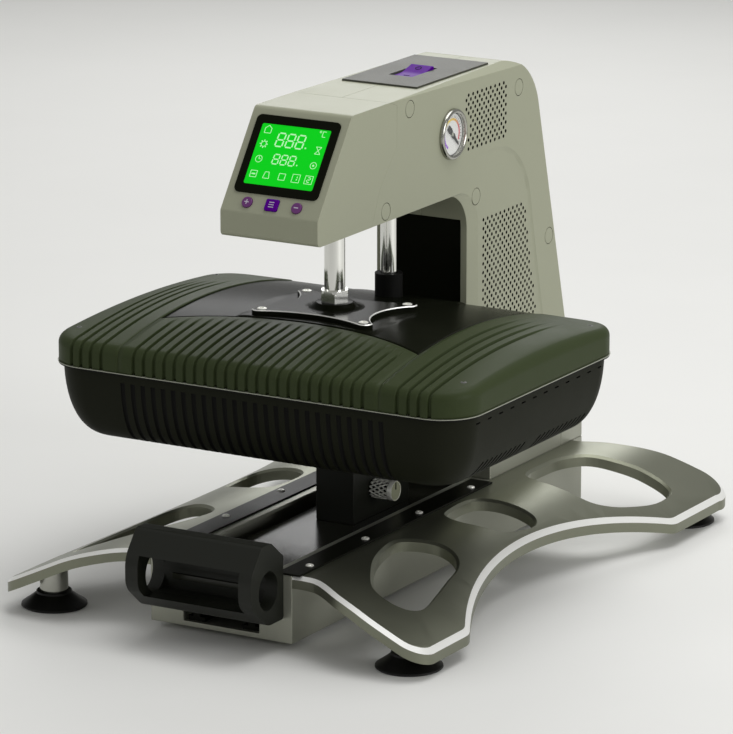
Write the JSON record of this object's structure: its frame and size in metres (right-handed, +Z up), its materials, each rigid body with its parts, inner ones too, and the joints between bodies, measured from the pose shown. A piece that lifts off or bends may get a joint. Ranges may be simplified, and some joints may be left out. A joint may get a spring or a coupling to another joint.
{
  "type": "sublimation heat press",
  "caption": "Pneumatic heat press: domed heated cover lifted by a cylinder in an overhanging arm, over a deep vacuum tub on a pull-out carriage, on a winged base with suction feet.",
  "frame": {"origin": "on the ground, under the middle of the machine's overall length and width", "axes": "+Z up; the operator stands in front, on the -Y side, facing +Y; +X is to the operator's right"},
  "size_m": [0.51, 0.7398, 0.5285],
  "materials": {
    "charcoal_steel": "fine textured paint",
    "silver_aluminium": "silver paint with bright machined edges",
    "black_screw": "satin",
    "black_rubber": "matte",
    "chrome": "polished",
    "steel": "ground",
    "grey_green_shell": "satin paint",
    "dark_plastic": "fine grain",
    "gloss_black": "gloss",
    "lcd": "lit screen",
    "board": "solder mask",
    "dial_white": "printed",
    "clear": "clear",
    "red_needle": "painted",
    "purple": "gloss",
    "aluminium": "anodised",
    "motor": "satin",
    "brass": "turned",
    "olive_cover": "satin",
    "charcoal_tub": "satin",
    "orange_silicone": "smooth",
    "board_insulation": "fibre board"
  },
  "bodies": {
    "base": {"base_channel": "charcoal_steel", "left_clamp_strip": "charcoal_steel", "right_clamp_strip": "charcoal_steel", "left_wing": "silver_aluminium", "right_wing": "silver_aluminium", "column_base": "silver_aluminium", "column_rear_cap": "silver_aluminium", "strip_screws": "black_screw", "shell_plugs": "black_screw", "suction_cup_front_left": "black_rubber", "suction_cup_front_right": "black_rubber", "suction_cup_rear_left": "black_rubber", "suction_cup_rear_right": "black_rubber", "foot_stems": "chrome", "gauge_ring": "chrome", "slide_rails": "steel", "c_frame": "steel", "guide_bush": "steel", "left_side_shell": "grey_green_shell", "right_side_shell": "grey_green_shell", "nose_cover": "grey_green_shell", "column_front_panel": "dark_plastic", "top_panel": "dark_plastic", "power_inlet": "dark_plastic", "gauge_case": "dark_plastic", "display_bezel": "gloss_black", "lcd_panel": "lcd", "control_board": "board", "gauge_dial": "dial_white", "gauge_glass": "clear", "air_cylinder": "aluminium", "vacuum_pump": "motor", "air_fitting": "brass"},
    "carriage": {"carriage_plate": "charcoal_steel", "carriage_runners": "steel", "platen_post": "dark_plastic", "tub": "charcoal_tub", "vacuum_tray": "aluminium", "silicone_membrane": "orange_silicone", "front_handle": "dark_plastic"},
    "heat_cover": {"lift_rod": "chrome", "guide_rod": "chrome", "rod_nut": "chrome", "guide_collar": "dark_plastic", "spider_plate": "gloss_black", "spider_screws": "black_screw", "cover_insert": "gloss_black", "cover_left": "olive_cover", "cover_right": "olive_cover", "cover_front": "olive_cover", "cover_trim": "aluminium", "cover_screws": "black_screw", "heating_platen": "aluminium", "insulation_board": "board_insulation"},
    "needle": {"gauge_needle": "red_needle"},
    "rocker": {"power_rocker": "purple"},
    "plus_button": {"button_plus": "purple"},
    "start_button": {"button_start": "purple"},
    "minus_button": {"button_minus": "purple"},
    "knob": {"post_knob": "chrome"}
  },
  "joints": [
    {"name": "platen_lift", "type": "slide", "parent": "base", "child": "heat_cover", "axis": [0, 0, 1], "range_m": [0, 0.06]},
    {"name": "carriage_slide", "type": "slide", "parent": "base", "child": "carriage", "axis": [0, -1, 0], "range_m": [0, 0.3]},
    {"name": "post_knob_turn", "type": "hinge", "parent": "carriage", "child": "knob", "pos_m": [0.037, -0.034, 0.098], "axis": [1, 0, 0], "continuous": true},
    {"name": "rocker_tilt", "type": "hinge", "parent": "base", "child": "rocker", "pos_m": [0, 0.0905, 0.517], "axis": [1, 0, 0], "range_deg": [-16, 0]},
    {"name": "gauge_needle_turn", "type": "hinge", "parent": "base", "child": "needle", "pos_m": [0.059, 0.0723, 0.466], "axis": [1, 0, 0], "range_deg": [0, 270], "stiffness_Nm_per_rad": 0.0001},
    {"name": "plus_button_press", "type": "slide", "parent": "base", "child": "plus_button", "axis": [0, 0.8123, -0.5832], "range_m": [0, 0.0012], "stiffness_N_per_m": 300},
    {"name": "start_button_press", "type": "slide", "parent": "base", "child": "start_button", "axis": [0, 0.8123, -0.5832], "range_m": [0, 0.0012], "stiffness_N_per_m": 300},
    {"name": "minus_button_press", "type": "slide", "parent": "base", "child": "minus_button", "axis": [0, 0.8123, -0.5832], "range_m": [0, 0.0012], "stiffness_N_per_m": 300}
  ]
}
